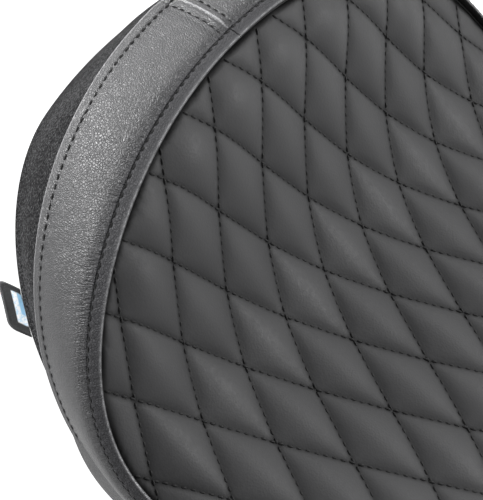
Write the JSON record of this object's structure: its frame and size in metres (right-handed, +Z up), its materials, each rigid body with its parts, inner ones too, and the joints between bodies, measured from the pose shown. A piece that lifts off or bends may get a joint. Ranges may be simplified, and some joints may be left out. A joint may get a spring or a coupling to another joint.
{
  "type": "motorcycle seat",
  "caption": "Bolt-on solo motorcycle seat: deep bucket with a diamond-quilted top, smooth side bands, gripper skirt, moulded pan, front tongue and adjustable rear bracket.",
  "frame": {"origin": "centre of the bare flat area on the pan's underside", "axes": "+X to the rider's left, +Y to the rear, -Y towards the nose, +Z up"},
  "size_m": [0.3544, 0.4588, 0.1261],
  "materials": {
    "quilt_vinyl": "matte quilted seat vinyl with black lock stitches",
    "band_vinyl": "satin seat vinyl with a fine leather grain",
    "gripper_fabric": "matte, finely napped gripper fabric",
    "tag_fabric": "woven satin label tape with pale bands",
    "gel_pad": "soft translucent polymer gel",
    "moulded_foam": "moulded polyurethane foam skin",
    "pan_plastic": "black thermoformed ABS, haircell texture",
    "felt_liner": "needled black felt",
    "coated_steel": "black powder coat",
    "zinc_steel": "zinc plated, satin",
    "bumper_rubber": "moulded black rubber",
    "nylon": "natural nylon"
  },
  "bodies": {
    "seat": {"cover_quilted_top": "quilt_vinyl", "cover_band_left": "band_vinyl", "cover_band_right": "band_vinyl", "cover_skirt_left": "gripper_fabric", "cover_skirt_right": "gripper_fabric", "gel_insert": "gel_pad", "foam_base": "moulded_foam", "seat_pan": "pan_plastic", "base_liner_left": "felt_liner", "base_liner_right": "felt_liner", "front_tongue_bracket": "coated_steel", "tongue_bolt_left": "zinc_steel", "tongue_washer_left": "zinc_steel", "tongue_nut_left": "zinc_steel", "rear_bolt_left": "zinc_steel", "rear_washer_left": "zinc_steel", "rear_nut_left": "zinc_steel", "tongue_bolt_right": "zinc_steel", "tongue_washer_right": "zinc_steel", "tongue_nut_right": "zinc_steel", "rear_bolt_right": "zinc_steel", "rear_washer_right": "zinc_steel", "rear_nut_right": "zinc_steel", "bumper_1": "bumper_rubber", "bumper_2": "bumper_rubber", "bumper_3": "bumper_rubber", "bumper_4": "bumper_rubber", "bumper_screw_1": "zinc_steel", "bumper_screw_2": "zinc_steel", "bumper_screw_3": "zinc_steel", "bumper_screw_4": "zinc_steel", "cover_rivet_01": "zinc_steel", "cover_rivet_02": "zinc_steel", "cover_rivet_03": "zinc_steel", "cover_rivet_04": "zinc_steel", "cover_rivet_05": "zinc_steel", "cover_rivet_06": "zinc_steel", "cover_rivet_07": "zinc_steel", "cover_rivet_08": "zinc_steel", "cover_rivet_09": "zinc_steel", "cover_rivet_10": "zinc_steel", "cover_rivet_11": "zinc_steel", "cover_rivet_12": "zinc_steel"},
    "rear_bracket": {"rear_mount_bracket": "coated_steel", "seat_screw_nut": "zinc_steel"},
    "screw_washer": {"seat_screw_washer": "nylon"},
    "seat_screw": {"seat_screw": "coated_steel"},
    "tag": {"fabric_tag": "tag_fabric"}
  },
  "joints": [
    {"name": "rear_bracket_slide", "type": "slide", "parent": "seat", "child": "rear_bracket", "axis": [0, 1, 0], "range_m": [-0.008, 0.008]},
    {"name": "seat_screw_travel", "type": "slide", "parent": "rear_bracket", "child": "screw_washer", "axis": [0, 0, -1], "range_m": [0, 0.01017]},
    {"name": "seat_screw_turn", "type": "hinge", "parent": "screw_washer", "child": "seat_screw", "pos_m": [0, 0.127, -0.0126], "axis": [0, 0, -1], "range_deg": [0, 2880]},
    {"name": "tag_flap", "type": "hinge", "parent": "seat", "child": "tag", "pos_m": [-0.13276, 0.07839, -0.0044], "axis": [0.4875, 0.8731, 0], "range_deg": [-70, 45]}
  ],
  "couplings": [
    {"joint": "seat_screw_travel", "follows": "seat_screw_turn", "m_per_rad": 0.00020213}
  ]
}
